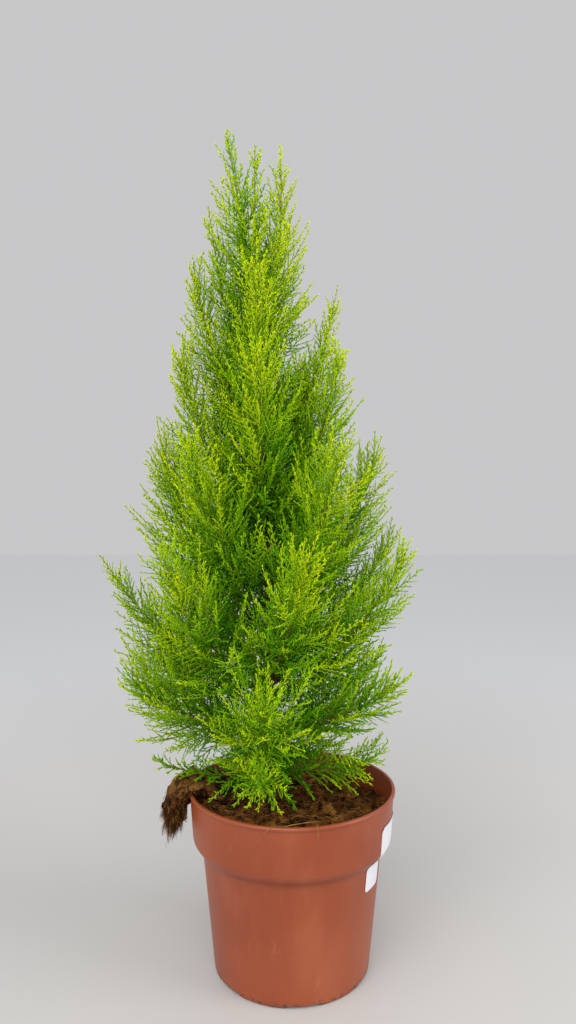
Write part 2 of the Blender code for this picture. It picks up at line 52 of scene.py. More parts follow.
FLOOR_FAR = (0.545, 0.55, 0.562)
FLOOR_FADE = (0.2, 1.6)
FLOOR_WIDTH = 8
FLOOR_DROP = 0.0004
DAYLIGHT_TURN = (math.radians(48), 0, math.radians(-20))
DAYLIGHT_SPREAD = math.radians(70)
DAYLIGHT_STRENGTH = 1.85
# Windows: name, place, width and power.
SOFT_BOXES = (
    ("window_front", (-0.6, -1.6, 1.3), 1.4, 13),
    ("window_right", (1.5, -0.6, 1.0), 1.0, 18),
    ("window_left", (-1.5, -0.2, 1.0), 1.0, 3),
)
PLANT_MIDDLE = Vector((0, 0, 0.4))


class Field:
    """A number that varies over a surface. Sums and products of it add the nodes that work them
    out."""

    def __init__(self, finish, socket):
        self.finish = finish
        self.socket = socket

    def combined(self, operation, first, second):
        node = self.finish.add("ShaderNodeMath", {"operation": operation}, {0: first, 1: second})
        return Field(self.finish, node.outputs[0])

    def __add__(self, other):
        return self.combined("ADD", self, other)

    def __radd__(self, other):
        return self.combined("ADD", other, self)

    def __rsub__(self, other):
        return self.combined("SUBTRACT", other, self)

    def __mul__(self, other):
        return self.combined("MULTIPLY", self, other)

    def over(self, low, high):
        """0 below the first value, 1 above the second and smooth between them."""
        settings = {"interpolation_type": "SMOOTHSTEP"}
        node = self.finish.add("ShaderNodeMapRange", settings, {"Value": self, 1: low, 2: high})
        return Field(self.finish, node.outputs[0])


class Finish:
    """One finish: a Principled surface and the nodes that vary it."""

    def __init__(self, name, constants):
        self.material = bpy.data.materials.new(name)
        self.material.use_nodes = True
        self.tree = self.material.node_tree
        self.surface = self.tree.nodes["Principled BSDF"]
        for socket, value in constants.items():
            self.surface.inputs[socket].default_value = value
        self.place = self.add("ShaderNodeTexCoord").outputs["Object"]

    def add(self, kind, settings=None, inputs=None):
        node = self.tree.nodes.new(kind)
        for key, value in (settings or {}).items():
            setattr(node, key, value)
        for socket, value in (inputs or {}).items():
            self.feed(node.inputs[socket], value)
        return node

    def feed(self, socket, value):
        if isinstance(value, Field):
            value = value.socket
        if isinstance(value, bpy.types.NodeSocket):
            self.tree.links.new(value, socket)
        else:
            socket.default_value = value

    def grain(self, scale, detail=3.0, stretch=(1, 1, 1), shift=(0, 0, 0)):
        """Noise of a scale in cycles per metre, drawn out along the axes with a small stretch."""
        mapping = {"Vector": self.place, "Scale": stretch, "Location": shift}
        placed = self.add("ShaderNodeMapping", None, mapping)
        inputs = {"Vector": placed.outputs[0], "Scale": scale, "Detail": detail}
        return Field(self, self.add("ShaderNodeTexNoise", None, inputs).outputs[0])

    def cells(self, scale):
        inputs = {"Vector": self.place, "Scale": scale}
        return Field(self, self.add("ShaderNodeTexVoronoi", None, inputs).outputs["Distance"])

    def height(self):
        parts = self.add("ShaderNodeSeparateXYZ", None, {0: self.place})
        return Field(self, parts.outputs["Z"])

    def away(self):
        """Distance from the origin."""
        length = self.add("ShaderNodeVectorMath", {"operation": "LENGTH"}, {0: self.place})
        return Field(self, length.outputs["Value"])

    def blend(self, share, first, second):
        inputs = {0: share, 6: first, 7: second}
        return self.add("ShaderNodeMix", {"data_type": "RGBA"}, inputs).outputs[2]

    def paint(self, colour):
        self.feed(self.surface.inputs["Base Color"], colour)

    def polish(self, roughness):
        self.feed(self.surface.inputs["Roughness"], roughness)

    def relief(self, height, depth, strength=1.0):
        inputs = {"Height": height, "Distance": depth, "Strength": strength}
        bump = self.add("ShaderNodeBump", None, inputs)
        self.feed(self.surface.inputs["Normal"], bump.outputs[0])


def linear(red, green, blue):
    """A colour of 0 to 255 as it looks on a screen, in the linear scale that finishes use."""
    return (*((value / 255) ** 2.2 for value in (red, green, blue)), 1.0)


def deselect():
    if bpy.context.object and bpy.context.object.mode != "OBJECT":
        bpy.ops.object.mode_set(mode="OBJECT")
    bpy.ops.object.select_all(action="DESELECT")


def pick(*things):
    """Selects these and nothing else, the first of them active."""
    deselect()
    for thing in things:
        thing.select_set(True)
    bpy.context.view_layer.objects.active = things[0]


def aim(thing, target):
    thing.rotation_euler = (target - thing.location).to_track_quat("-Z", "Y").to_euler()


bpy.context.scene.view_settings.view_transform = "Standard"

bpy.ops.object.camera_add(location=CAMERA_PLACE, rotation=(CAMERA_PITCH, 0, 0))
camera = bpy.context.object
camera.data.lens = CAMERA_LENS
camera.data.sensor_width = CAMERA_SENSOR
camera.data.dof.use_dof = False
bpy.context.scene.camera = camera

for light_name, light_place, light_width, light_power in SOFT_BOXES:
    bpy.ops.object.light_add(type="AREA", location=light_place)
    soft_box = bpy.context.object
    soft_box.name = light_name
    soft_box.data.size = light_width
    soft_box.data.energy = light_power
    aim(soft_box, PLANT_MIDDLE)

bpy.ops.object.light_add(type="SUN", rotation=DAYLIGHT_TURN)
daylight = bpy.context.object
daylight.name = "daylight"
daylight.data.energy = DAYLIGHT_STRENGTH
daylight.data.angle = DAYLIGHT_SPREAD

room = bpy.data.worlds.new("room")
room.use_nodes = True
room.node_tree.nodes["Background"].inputs["Color"].default_value = (*ROOM_GREY, 1)
bpy.context.scene.world = room

deselect()
bpy.ops.mesh.primitive_plane_add(size=FLOOR_WIDTH, location=(0, 0, -FLOOR_DROP))
floor = bpy.context.object
floor.name = "floor"
floor_paint = Finish("pale_floor", {"Roughness": 0.55})
floor_grey = floor_paint.blend(floor_paint.grain(3.0), (*FLOOR_WHITE, 1), (*FLOOR_DULL, 1))
distance = floor_paint.away().over(*FLOOR_FADE)
floor_paint.paint(floor_paint.blend(distance, floor_grey, (*FLOOR_FAR, 1)))
floor.data.materials.append(floor_paint.material)

# Pot: a 21 cm nursery pot blown from one sheet of terracotta-coloured plastic. The tall collar
# stiffens it and lets pots stack, and the foot has slots that let water out from under it.
POT_HEIGHT = 0.185
POT_WALL = 0.0022
POT_FLOOR = 0.0045
FOOT_RADIUS = 0.079
BODY_TOP = (0.0905, 0.120)
COLLAR_FOOT = (0.1005, 0.137)
COLLAR_TOP_RADIUS = 0.1035
RIM_RADIUS = 0.105
POT_SIDES = 128
DRAIN_CIRCLE = 0.052
DRAIN_RADIUS = 0.0045
DRAIN_HOLES = 4
DRAIN_SIDES = 24
SLOT_WIDTH = 0.034
SLOT_HEIGHT = 0.0028
SLOT_DEPTH = 0.016
SLOT_TURNS = (-82, -22, 38, 98, 158, 218)
TERRACOTTA = linear(146, 72, 41)
TERRACOTTA_PALE = linear(158, 86, 56)
TERRACOTTA_DEEP = linear(134, 62, 34)
FOOT_DIRT = linear(62, 56, 38)


def face_outwards():
    """Turns the faces of the active piece outwards, and leaves it in object mode."""
    bpy.ops.object.mode_set(mode="EDIT")
    bpy.ops.mesh.select_all(action="SELECT")
    bpy.ops.mesh.normals_make_consistent(inside=False)
    bpy.ops.object.mode_set(mode="OBJECT")


def smooth(degrees):
    """Shades the active piece smooth over edges that turn by less than this."""
    bpy.ops.object.shade_smooth_by_angle(angle=math.radians(degrees))


def turn_on_lathe(name, profile, sides):
    """A hollow or solid turned shape: a ring that is extruded and resized from one station of the
    profile to the next, and filled at both ends."""
    deselect()
    radius, height = profile[0]
    bpy.ops.mesh.primitive_circle_add(vertices=sides, radius=radius, location=(0, 0, height))
    made = bpy.context.object
    made.name = name
    bpy.ops.object.mode_set(mode="EDIT")
    bpy.ops.mesh.select_all(action="SELECT")
    bpy.ops.mesh.edge_face_add()
    bpy.ops.mesh.select_all(action="SELECT")
    for (radius, height), (next_radius, next_height) in zip(profile, profile[1:]):
        rise = {"value": (0, 0, next_height - height)}
        bpy.ops.mesh.extrude_region_move(TRANSFORM_OT_translate=rise)
        scale = next_radius / radius
        bpy.ops.transform.resize(value=(scale, scale, 1), center_override=(0, 0, next_height))
    face_outwards()
    bpy.ops.object.transform_apply(location=True, rotation=True, scale=True)
    return made


def cut_out(target, cutter):
    bite = target.modifiers.new("cut", "BOOLEAN")
    bite.object = cutter
    bite.operation = "DIFFERENCE"
    pick(target)
    bpy.ops.object.modifier_apply(modifier=bite.name)
    bpy.data.objects.remove(cutter)


def inner(station):
    return station[0] - POT_WALL, station[1]


def shoulder_curve():
    """The soft step from the pot's body out to its collar, as a half wave."""
    steps = 8
    (low_radius, low), (high_radius, high) = BODY_TOP, COLLAR_FOOT
    for step in range(1, steps):
        share = step / steps
        swell = 0.5 - 0.5 * math.cos(math.pi * share)
        yield low_radius + (high_radius - low_radius) * swell, low + (high - low) * share


step_up = list(shoulder_curve())
pot_outside = [
    (FOOT_RADIUS - 0.0022, 0.0),
    (FOOT_RADIUS - 0.0008, 0.0005),
    (FOOT_RADIUS, 0.0022),
    (FOOT_RADIUS + 0.0006, 0.006),
    BODY_TOP,
    *step_up,
    COLLAR_FOOT,
    (COLLAR_FOOT[0] + 0.0003, COLLAR_FOOT[1] + 0.002),
    (COLLAR_TOP_RADIUS - 0.0002, POT_HEIGHT - 0.0046),
    (COLLAR_TOP_RADIUS + 0.0008, POT_HEIGHT - 0.0040),
    (RIM_RADIUS - 0.0002, POT_HEIGHT - 0.0028),
    (RIM_RADIUS, POT_HEIGHT - 0.0016),
    (RIM_RADIUS - 0.0005, POT_HEIGHT - 0.0004),
    (RIM_RADIUS - 0.0013, POT_HEIGHT),
]
pot_inside = [
    (COLLAR_TOP_RADIUS - POT_WALL + 0.0005, POT_HEIGHT - 0.0001),
    (COLLAR_TOP_RADIUS - POT_WALL, POT_HEIGHT - 0.0010),
    inner(COLLAR_FOOT),
    *(inner(station) for station in reversed(step_up)),
    inner(BODY_TOP),
    (FOOT_RADIUS - POT_WALL, POT_FLOOR),
]
pot = turn_on_lathe("nursery_pot", pot_outside + pot_inside, POT_SIDES)
for hole in range(DRAIN_HOLES):
    azimuth = math.tau * (hole + 0.25) / DRAIN_HOLES
    deselect()
    bpy.ops.mesh.primitive_cylinder_add(
        vertices=DRAIN_SIDES, radius=DRAIN_RADIUS, depth=POT_FLOOR * 3,
        location=(DRAIN_CIRCLE * math.cos(azimuth), DRAIN_CIRCLE * math.sin(azimuth), POT_FLOOR / 2),
    )
    cut_out(pot, bpy.context.object)
for slot_turn in SLOT_TURNS:
    azimuth = math.radians(slot_turn)
    deselect()
    bpy.ops.mesh.primitive_cube_add(
        size=1, location=(FOOT_RADIUS * math.cos(azimuth), FOOT_RADIUS * math.sin(azimuth), 0),
        rotation=(0, 0, azimuth),
    )
    slot = bpy.context.object
    slot.scale = (SLOT_DEPTH, SLOT_WIDTH, SLOT_HEIGHT * 2)
    bpy.ops.object.transform_apply(location=True, rotation=True, scale=True)
    cut_out(pot, slot)
pick(pot)
smooth(32)

plastic = Finish("terracotta_plastic", {"Roughness": 0.4, "IOR": 1.46})
sheet_mottle = plastic.grain(9, 2)
moulding = plastic.grain(34, 3, (1, 1, 0.35))
speckle = plastic.grain(900, 2)
scuffs = plastic.grain(160, 4, (1, 1, 0.18), (3, 1, 2)).over(0.64, 0.74)
tone = plastic.blend(sheet_mottle.over(0.35, 0.68), TERRACOTTA_DEEP, TERRACOTTA)
tone = plastic.blend(moulding.over(0.42, 0.75) * 0.45, tone, TERRACOTTA_PALE)
tone = plastic.blend(scuffs * 0.22, tone, linear(178, 116, 88))
foot = 1 - plastic.height().over(0.0005, 0.010)
splash = plastic.grain(420, 4, (1, 1, 1), (5, 0, 0)).over(0.52, 0.60)
dirt = foot * splash
spots = plastic.grain(560, 1, (1, 1, 1), (0, 7, 0)).over(0.755, 0.775)
low_spots = spots * (1 - plastic.height().over(0.02, 0.11))
grime = dirt + low_spots
tone = plastic.blend(grime.over(0.05, 0.9), tone, FOOT_DIRT)
plastic.paint(tone)
plastic.polish(0.36 + sheet_mottle * 0.10 + scuffs * 0.16 + dirt * 0.35)
plastic.relief(moulding * 0.5 + speckle * 0.07 + dirt * 0.35, 0.0009, 0.30)
pot.data.materials.clear()
pot.data.materials.append(plastic.material)
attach(pot, "root")
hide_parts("pot")

# Blank labels: two pieces of white paper that overlap, stuck over the step at the pot's right and
# bent to the plastic they are on. Nothing is printed on them.
# Labels: name, first and last azimuth in degrees, foot, top, and height over the plastic.
LABELS = (
    ("label_upper", -32.0, -3.0, 0.121, 0.162, 0.00035),
    ("label_lower", -38.0, -20.5, 0.099, 0.1305, 0.00055),
)
LABEL_GRID = (14, 18)
CORNER_START = 0.86
CORNER_ROUNDING = 5
LABEL_PEEL = 0.0004
PAPER_THICKNESS = 0.00022


def pot_radius(height):
    radii, heights = zip(*pot_outside[:-2])
    return float(np.interp(height, heights, radii))


def stick_label(name, first_turn, last_turn, low, high, proud):
    deselect()
    columns, rows = LABEL_GRID
    bpy.ops.mesh.primitive_grid_add(x_subdivisions=columns, y_subdivisions=rows, size=2)
    label = bpy.context.object
    label.name = name
    for vert in label.data.vertices:
        across, up = vert.co.x, vert.co.y
        corner = max(abs(across) - CORNER_START, 0) * max(abs(up) - CORNER_START, 0)
        across *= 1 - corner * CORNER_ROUNDING
        up *= 1 - corner * CORNER_ROUNDING
        turn = math.radians(first_turn + (last_turn - first_turn) * (across + 1) / 2)
        height = low + (high - low) * (up + 1) / 2
        radius = pot_radius(height) + proud + LABEL_PEEL * max(up, 0) ** 4
        vert.co = (radius * math.cos(turn), radius * math.sin(turn), height)
    wall = label.modifiers.new("paper", "SOLIDIFY")
    wall.thickness = PAPER_THICKNESS
    bpy.ops.object.modifier_apply(modifier=wall.name)
    face_outwards()
    smooth(40)
    return label


paper = Finish("label_paper", {"Roughness": 0.62})
pulp = paper.grain(240, 3)
paper.paint(paper.blend(pulp, linear(206, 206, 212), linear(224, 224, 228)))
paper.relief(pulp, 0.0003, 0.3)
for label_values in LABELS:
    label = stick_label(*label_values)
    label.data.materials.append(paper.material)
    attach(label, "root")

# Compost: damp coir and peat in a lumpy mat, close under the rim at the front and a finger lower
# at the right and the back, with hollows where water has washed it down.
SOIL_TOP = 0.1735
SOIL_RINGS = 34
SOIL_SIDES = 120
SOIL_LUMP = 0.0100
SOIL_CLOD = 0.0045
LUMPS_PER_METRE = 36
CLODS_PER_METRE = 95
SOIL_FALL_RIGHT = 0.010
SOIL_FALL_BACK = 0.012
SOIL_FALL_SPAN = 0.1
SOIL_RISE = 0.004
SOIL_GAPS = {"floor": 0.0003, "side": 0.0006, "edge": 0.0008}
MOUND_FLAT = 0.010
MOUND_SLOPE = 0.025
TRUNK_FOOT = Vector((-0.0320, 0.0, 0.1770))
SOIL_DARK = linear(26, 13, 4)
SOIL_BROWN = linear(100, 60, 24)
SOIL_TAN = linear(156, 106, 50)


def soil_height(x, y):
    """The compost's top under a point, level at the trunk's foot."""
    lump = noise.fractal(Vector((x * LUMPS_PER_METRE, y * LUMPS_PER_METRE, 0.3)), 0.8, 2.1, 5)
    clod = abs(noise.noise(Vector((x * CLODS_PER_METRE, y * CLODS_PER_METRE, 4.0))))
    fall = SOIL_FALL_RIGHT * x / SOIL_FALL_SPAN + SOIL_FALL_BACK * y / SOIL_FALL_SPAN
    from_trunk = math.hypot(x - TRUNK_FOOT.x, y - TRUNK_FOOT.y)
    level = min(max((from_trunk - MOUND_FLAT) / MOUND_SLOPE, 0.0), 1.0)
    bed = SOIL_TOP - max(fall, -SOIL_RISE) + SOIL_LUMP * lump + SOIL_CLOD * clod
    return bed * level + TRUNK_FOOT.z * (1 - level)


soil_edge = COLLAR_TOP_RADIUS - POT_WALL - SOIL_GAPS["edge"]
soil_profile = [(FOOT_RADIUS - POT_WALL - SOIL_GAPS["edge"], POT_FLOOR + SOIL_GAPS["floor"])]
for radius, height in (BODY_TOP, COLLAR_FOOT):
    soil_profile.append((radius - POT_WALL - SOIL_GAPS["side"], height))
soil_profile += [(soil_edge * (1 - step / SOIL_RINGS), SOIL_TOP) for step in range(SOIL_RINGS)]
soil = turn_on_lathe("compost_bed", soil_profile, SOIL_SIDES)
for vert in soil.data.vertices:
    if vert.co.z > SOIL_TOP - 0.0001:
        vert.co.z = soil_height(vert.co.x, vert.co.y)
smooth(60)
earth = Finish("coir_compost", {"Roughness": 0.93, "Specular IOR Level": 0.12})
clods = earth.grain(120, 5)
fibre = earth.grain(900, 3, (1, 0.22, 1))
fibre_across = earth.grain(900, 3, (0.25, 1, 1), (2, 0, 0))
pits = earth.cells(260)
tone = earth.blend(clods.over(0.40, 0.60), SOIL_DARK, SOIL_BROWN)
dry_patches = earth.grain(38, 2, (1, 1, 1), (0, 3, 0)).over(0.50, 0.62)
tone = earth.blend(dry_patches * clods.over(0.34, 0.56) * 0.55, tone, SOIL_TAN)
tone = earth.blend(fibre.over(0.60, 0.72) * 0.6, tone, SOIL_TAN)
tone = earth.blend(fibre_across.over(0.63, 0.74) * 0.5, tone, linear(112, 66, 30))
earth.paint(tone)
earth.relief(clods * 0.9 + fibre * 0.4 + fibre_across * 0.35 + pits * 0.5, 0.004, 0.9)
soil.data.materials.append(earth.material)
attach(soil, "root")
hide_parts("compost")

# Coir fibres: thousands of coconut hairs, dark brown, chestnut and straw, that lie across the
# compost, stand out of it and hang over the rim. Each is a thin three-sided strand.
# Kinds: name, number of hairs, colour and radius.
FIBRE_KINDS = (
    ("coir_dark", 900, linear(44, 24, 9), 0.00022),
    ("coir_chestnut", 1500, linear(108, 66, 28), 0.00018),
    ("coir_straw", 560, linear(168, 122, 62), 0.00016),
)
FIBRE_POINTS = 5
FIBRE_TAPER = (1.2, 0.45)
FIBRE_LENGTHS = (0.004, 0.018)
FIBRE_LIFT = (0.10, 0.28)
FIBRE_SAG = 0.30
FIBRE_SWAY = 0.35
# Long hairs at the front, through listed points.
STRAWS = (
    ((-0.010, -0.1055, 0.1862), (0.002, -0.104, 0.1885), (0.018, -0.101, 0.1895), (0.030, -0.097, 0.1885)),
    ((0.022, -0.101, 0.1868), (0.0225, -0.1056, 0.1868), (0.0235, -0.1062, 0.178), (0.0225, -0.1058, 0.168)),
    ((-0.016, -0.1, 0.185), (-0.021, -0.1058, 0.1862), (-0.029, -0.105, 0.176), (-0.034, -0.103, 0.168)),
)
STRAW_SWELL = (2.6, 2.6, 2.4, 2.2, 2.0)
chance = np.random.default_rng(7)


def unit(vectors):
    return vectors / np.maximum(np.linalg.norm(vectors, axis=-1, keepdims=True), 1e-9)


def square_to(directions):
    """Two unit vectors at right angles to each direction."""
    helper = np.where(np.abs(directions[..., 2:3]) < 0.9, [0.0, 0.0, 1.0], [1.0, 0.0, 0.0])
    side = unit(np.cross(directions, helper))
    return side, np.cross(directions, side)


def strands(points, radii):
    """Closed three-sided strands. points is strands by stations by 3, radii strands by stations."""
    count, stations, _ = points.shape
    along = unit(np.gradient(points, axis=1))
    side, other = square_to(along)
    corners = []
    for corner in range(3):
        turn = math.tau * corner / 3
        corners.append(points + (side * math.cos(turn) + other * math.sin(turn)) * radii[..., None])
    ring_points = np.stack(corners, axis=2).reshape(-1, 3)
    faces = [(0, 2, 1)]
    for station in range(stations - 1):
        low = station * 3
        for corner in range(3):
            after = (corner + 1) % 3
            faces.append((low + corner, low + after, low + 3 + after))
            faces.append((low + corner, low + 3 + after, low + 3 + corner))
    last = (stations - 1) * 3
    faces.append((last, last + 1, last + 2))
    starts = np.arange(count)[:, None, None] * stations * 3
    return ring_points, (np.array(faces)[None] + starts).reshape(-1, 3)


def spikes(roots, directions, lengths, widths, turns):
    """Closed four-faced needles: a three-cornered foot and a point."""
    side, other = square_to(directions)
    corners = []
    for corner in range(3):
        turn = turns + math.tau * corner / 3
        across = side * np.cos(turn)[:, None] + other * np.sin(turn)[:, None]
        corners.append(roots + across * widths[:, None])
    corners.append(roots + directions * lengths[:, None])
    points = np.stack(corners, axis=1).reshape(-1, 3)
    faces = np.array([(0, 2, 1), (0, 1, 3), (1, 2, 3), (2, 0, 3)])
    return points, (faces[None] + np.arange(len(roots))[:, None, None] * 4).reshape(-1, 3)


def joined_mesh(name, points, triangles, material):
    """One object from arrays of points and triangles."""
    mesh = bpy.data.meshes.new(name)
    mesh.vertices.add(len(points))
    mesh.vertices.foreach_set("co", points.astype(np.float32).ravel())
    mesh.loops.add(triangles.size)
    mesh.loops.foreach_set("vertex_index", triangles.astype(np.int32).ravel())
    mesh.polygons.add(len(triangles))
    mesh.polygons.foreach_set("loop_start", np.arange(0, triangles.size, 3, dtype=np.int32))
    mesh.update(calc_edges=True)
    mesh.validate()
    mesh.materials.append(material)
    made = bpy.data.objects.new(name, mesh)
    bpy.context.scene.collection.objects.link(made)
    return made


def bent_hairs(roots, directions, lengths, sag):
    """Curved paths that leave their roots, wander and fall."""
    side, _ = square_to(directions)
    sway = chance.uniform(-FIBRE_SWAY, FIBRE_SWAY, len(roots))[:, None]
    stations = []
    for share in np.linspace(0, 1, FIBRE_POINTS):
        run = directions * share + side * sway * share**2
        fall = np.array([0, 0, -1.0]) * sag * share**2
        stations.append(roots + (run + fall) * lengths[:, None])
    return np.stack(stations, axis=1)


def soil_hairs(count):
    """Hairs that lie on the compost, with some that stand out of it."""
    radius = soil_edge * 0.97 * np.sqrt(chance.uniform(0, 1, count))
    angle = chance.uniform(0, math.tau, count)
    roots = np.stack([radius * np.cos(angle), radius * np.sin(angle), np.zeros(count)], axis=1)
    heading = chance.uniform(0, math.tau, count)
    lift = np.abs(chance.normal(*FIBRE_LIFT, count))
    directions = unit(np.stack([np.cos(heading), np.sin(heading), lift], axis=1))
    lengths = chance.uniform(*FIBRE_LENGTHS, count)
    paths = bent_hairs(roots, directions, lengths, FIBRE_SAG)
    reach = np.hypot(paths[..., 0], paths[..., 1])
    shrink = np.minimum(1.0, (soil_edge - 0.0012) / np.maximum(reach, 1e-6))
    paths[..., :2] *= shrink[..., None]
    for path in paths:
        beds = [soil_height(x, y) for x, y, _ in path]
        path[:, 2] = np.maximum(path[:, 2] + beds[0] + 0.0004, np.array(beds) + 0.0003)
    return paths


def finer(table, count):
    """The same table of stations with this many of them, spaced evenly."""
    old, new = np.linspace(0, 1, len(table)), np.linspace(0, 1, count)
    return np.stack([np.interp(new, old, column) for column in np.transpose(table)], axis=1)


def fibre_widths(hairs, radius):
    """The radius of each hair at each of its stations, thickest at the root."""
    return np.full(hairs.shape[:2], radius) * np.linspace(*FIBRE_TAPER, FIBRE_POINTS)


def tinted(colour, red, green, blue):
    """A colour with its three parts multiplied."""
    return (colour[0] * red, colour[1] * green, colour[2] * blue, 1.0)


front_straws = np.stack([finer(points, FIBRE_POINTS) for points in STRAWS])
for fibre_name, fibre_count, fibre_colour, fibre_radius in FIBRE_KINDS:
    hairs = soil_hairs(fibre_count)
    if fibre_name == "coir_straw":
        hairs = np.concatenate([hairs, front_straws])
    widths = fibre_widths(hairs, fibre_radius)
    widths[fibre_count:] *= STRAW_SWELL
    hair = Finish(fibre_name, {"Roughness": 0.85, "Specular IOR Level": 0.12})
    hair_tone = hair.grain(150, 2)
    hair.paint(hair.blend(hair_tone.over(0.3, 0.7), tinted(fibre_colour, 0.5, 0.5, 0.5), fibre_colour))
    made = joined_mesh(fibre_name, *strands(hairs, widths), hair.material)
    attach(made, "root")

# Coir tuft: a matted lump of the same coir that has been pulled up over the rim at the left and
# hangs outside the pot, with loose ends.
TUFT_AZIMUTH = math.radians(184)
# Stations: distance from the pot's axis, height, half width and half thickness.
TUFT_STATIONS = (
    (0.0740, 0.1815, 0.024, 0.0050),
    (0.0880, 0.1905, 0.028, 0.0066),
    (0.1000, 0.1926, 0.028, 0.0078),
    (0.1115, 0.1880, 0.026, 0.0098),
    (0.1170, 0.1740, 0.024, 0.0116),
    (0.1190, 0.1620, 0.021, 0.0120),
    (0.1200, 0.1530, 0.015, 0.0090),
)
TUFT_ROUGHNESS = 0.50
TUFT_HAIRS = 1900
TUFT_HAIR_LENGTHS = (0.003, 0.008)
TUFT_TAILS = 34
TAIL_PLACES = (0.70, 0.98)
TAIL_HAIRS = (20, 60)
TAIL_LENGTHS = (0.012, 0.022)
TAIL_WIDTH = 0.0012
TUFT_SAG = 0.25
RIM_CLEAR_RADIUS = RIM_RADIUS + 0.0015
RIM_CLEAR_HEIGHT = POT_HEIGHT + 0.001
RIM_INSIDE = 0.098
TUFT_BED = 0.1755
TUFT_SIDES = 28
TUFT_RINGS = 46


def tuft_place(share, angle, swell=1.0):
    """A point on the tuft's skin: share along it and an angle round it."""
    table = np.array(TUFT_STATIONS)
    steps = np.arange(len(table))
    at = share * steps[-1]
    behind, here, ahead = (
        np.array([np.interp(at + step, steps, column) for column in table.T]) for step in (-0.1, 0, 0.1)
    )
    along = unit(ahead[:2] - behind[:2])
    radius, height, half_width, half_thickness = here
    thick = half_thickness * math.sin(angle) * swell
    radius_here = radius - along[1] * thick
    height_here = height + along[0] * thick
    turn = TUFT_AZIMUTH + half_width * math.cos(angle) * swell / radius
    return Vector((radius_here * math.cos(turn), radius_here * math.sin(turn), height_here))


deselect()
bpy.ops.mesh.primitive_cylinder_add(vertices=TUFT_SIDES, radius=1, depth=1)
tuft = bpy.context.object
tuft.name = "coir_tuft_mat"
bpy.ops.object.mode_set(mode="EDIT")
for ring in range(1, TUFT_RINGS):
    bpy.ops.mesh.select_all(action="SELECT")
    cut_height = -0.5 + ring / TUFT_RINGS
    bpy.ops.mesh.bisect(plane_co=(0, 0, cut_height), plane_no=(0, 0, 1))
bpy.ops.object.mode_set(mode="OBJECT")
for vert in tuft.data.vertices:
    share = vert.co.z + 0.5
    angle = math.atan2(vert.co.y, vert.co.x)
    rough = noise.fractal(Vector((share * 7, math.cos(angle) * 1.3, math.sin(angle) * 1.3)), 0.7, 2.2, 4)
    vert.co = tuft_place(share, angle, 0.94 + TUFT_ROUGHNESS * rough)
smooth(70)
mat_finish = Finish("matted_coir", {"Roughness": 0.95, "Specular IOR Level": 0.12})
strand_a = mat_finish.grain(700, 3, (1, 1, 0.2))
strand_b = mat_finish.grain(90, 4)
tone = mat_finish.blend(strand_b.over(0.38, 0.62), linear(28, 13, 5), linear(78, 44, 22))
tone = mat_finish.blend(strand_a.over(0.56, 0.70) * 0.7, tone, linear(120, 80, 44))
sunlit = mat_finish.height().over(0.176, 0.194) * strand_b.over(0.30, 0.55)
tone = mat_finish.blend(sunlit * 0.7, tone, linear(138, 98, 52))
mat_finish.paint(tone)
mat_finish.relief(strand_a * 0.8 + strand_b * 0.8, 0.003, 0.9)
tuft.data.materials.append(mat_finish.material)
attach(tuft, "root")
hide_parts("coir_tuft")

hair_roots, hair_directions = [], []
for _ in range(TUFT_HAIRS):
    share = chance.uniform(0.02, 0.97)
    angle = chance.uniform(0, math.tau)
    spot = np.array(tuft_place(share, angle, 0.80))
    skin = np.array(tuft_place(share, angle, 1.0))
    further = np.array(tuft_place(min(share + 0.06, 1.0), angle, 0.95))
    hair_roots.append(spot)
    hair_directions.append((further - spot) * 1.2 + (skin - spot) * 1.6 + chance.normal(0, 0.0030, 3))
hair_lengths = chance.uniform(*TUFT_HAIR_LENGTHS, TUFT_HAIRS)
tuft_hairs = [(np.array(hair_roots), unit(np.array(hair_directions)), hair_lengths)]
for _ in range(TUFT_TAILS):
    share = chance.uniform(*TAIL_PLACES)
    angle = chance.uniform(0, math.tau)
    middle = np.array(tuft_place(share, angle, 0.70))
    fall = unit(np.array([-0.15, 0.0, -1.0]) + chance.normal(0, 0.22, 3))
    count = int(chance.integers(*TAIL_HAIRS))
    tail_roots = middle + chance.normal(0, TAIL_WIDTH, (count, 3))
    tail_directions = unit(fall + chance.normal(0, 0.07, (count, 3)))
    tail_lengths = chance.uniform(0.4, 1.0, count) * chance.uniform(*TAIL_LENGTHS)
    tuft_hairs.append((tail_roots, tail_directions, tail_lengths))
hairs = bent_hairs(*map(np.concatenate, zip(*tuft_hairs)), TUFT_SAG)
reach = np.hypot(hairs[..., 0], hairs[..., 1])
heights = hairs[..., 2]
in_rim = (heights < RIM_CLEAR_HEIGHT) & (reach < RIM_CLEAR_RADIUS) & (reach > RIM_INSIDE)
hairs[..., :2] *= np.where(in_rim, RIM_CLEAR_RADIUS / reach, 1.0)[..., None]
hairs[..., 2] = np.where(reach < RIM_INSIDE, np.maximum(heights, TUFT_BED), heights)
for index, (fibre_name, _, fibre_colour, fibre_radius) in enumerate(FIBRE_KINDS):
    some = hairs[index :: len(FIBRE_KINDS)]
    shape = strands(some, fibre_widths(some, fibre_radius))
    made = joined_mesh("tuft_" + fibre_name, *shape, bpy.data.materials[fibre_name])
    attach(made, "root")

